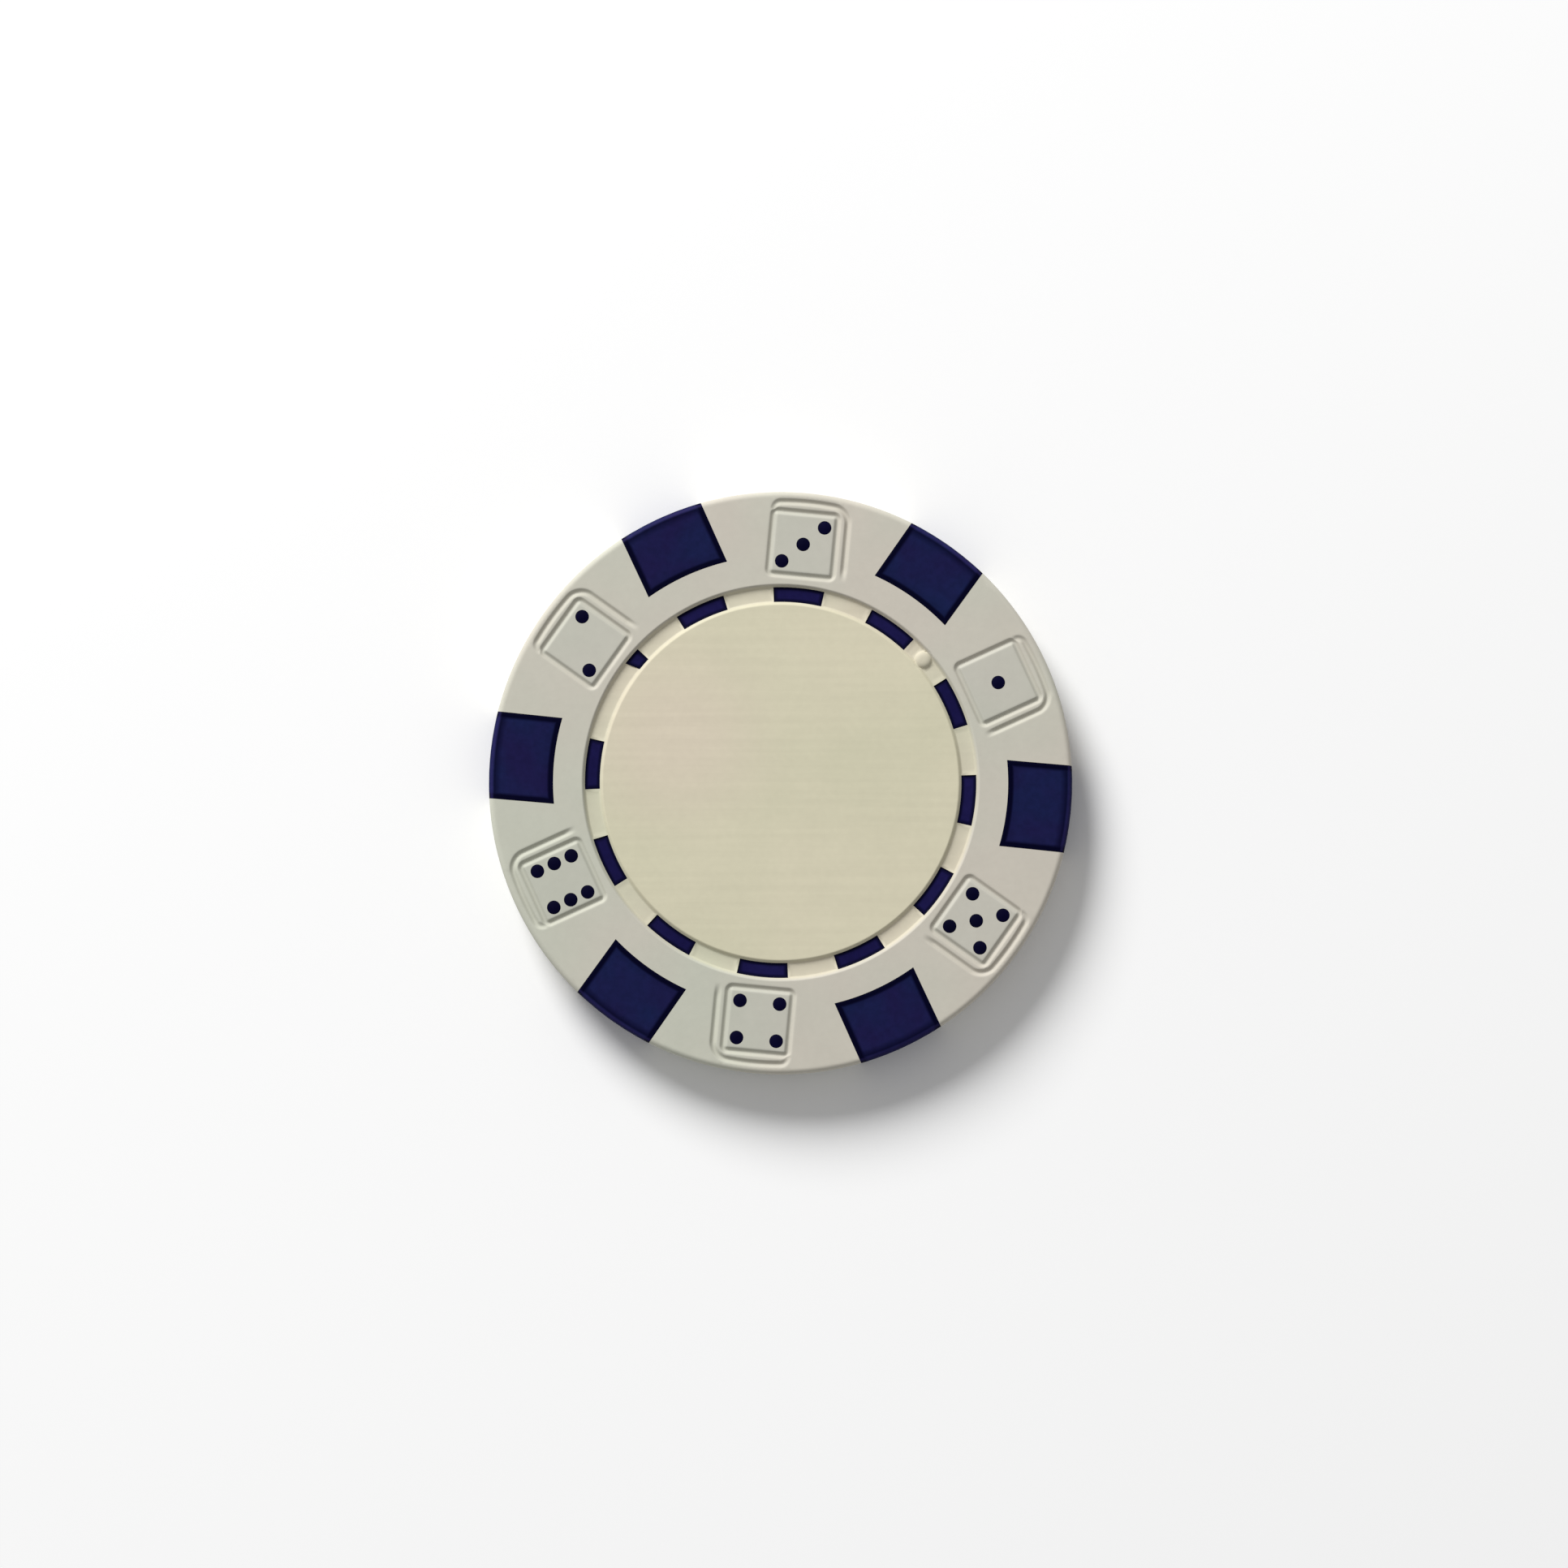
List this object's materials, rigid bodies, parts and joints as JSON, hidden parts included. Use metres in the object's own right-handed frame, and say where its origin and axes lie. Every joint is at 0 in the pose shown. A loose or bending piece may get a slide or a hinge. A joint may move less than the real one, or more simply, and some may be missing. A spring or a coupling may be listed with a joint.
{
  "type": "poker chip",
  "caption": "Round moulded gaming chip with navy edge spots, a ring of dashes and dice faces round its rim, a bare centre disc, and a steel weight sealed inside.",
  "frame": {"origin": "centre of the underside, on the plane that the chip rests on", "axes": "+Z is the chip's axis, up out of the face that the picture shows; +Y runs from the centre to the die with three pips; +X runs clockwise of it"},
  "size_m": [0.04, 0.04, 0.0033],
  "materials": {
    "ivory_plastic": "satin moulded ivory plastic, finely matt on the rim and smoother on the disc",
    "navy_plastic": "satin moulded navy plastic",
    "weight_steel": "plain stamped mild steel, sealed inside"
  },
  "bodies": {
    "root": {"body": "ivory_plastic", "weight_slug": "weight_steel", "edge_spot_1": "navy_plastic", "edge_spot_2": "navy_plastic", "edge_spot_3": "navy_plastic", "edge_spot_4": "navy_plastic", "edge_spot_5": "navy_plastic", "edge_spot_6": "navy_plastic", "dash_1": "navy_plastic", "dash_2": "navy_plastic", "dash_3": "navy_plastic", "dash_4": "navy_plastic", "dash_5": "navy_plastic", "dash_6": "navy_plastic", "dash_7": "navy_plastic", "dash_8": "navy_plastic", "dash_9": "navy_plastic", "dash_10": "navy_plastic", "dash_11": "navy_plastic", "dash_12": "navy_plastic", "die_pips_1": "navy_plastic", "die_pips_2": "navy_plastic", "die_pips_3": "navy_plastic", "die_pips_4": "navy_plastic", "die_pips_5": "navy_plastic", "die_pips_6": "navy_plastic"}
  },
  "joints": []
}
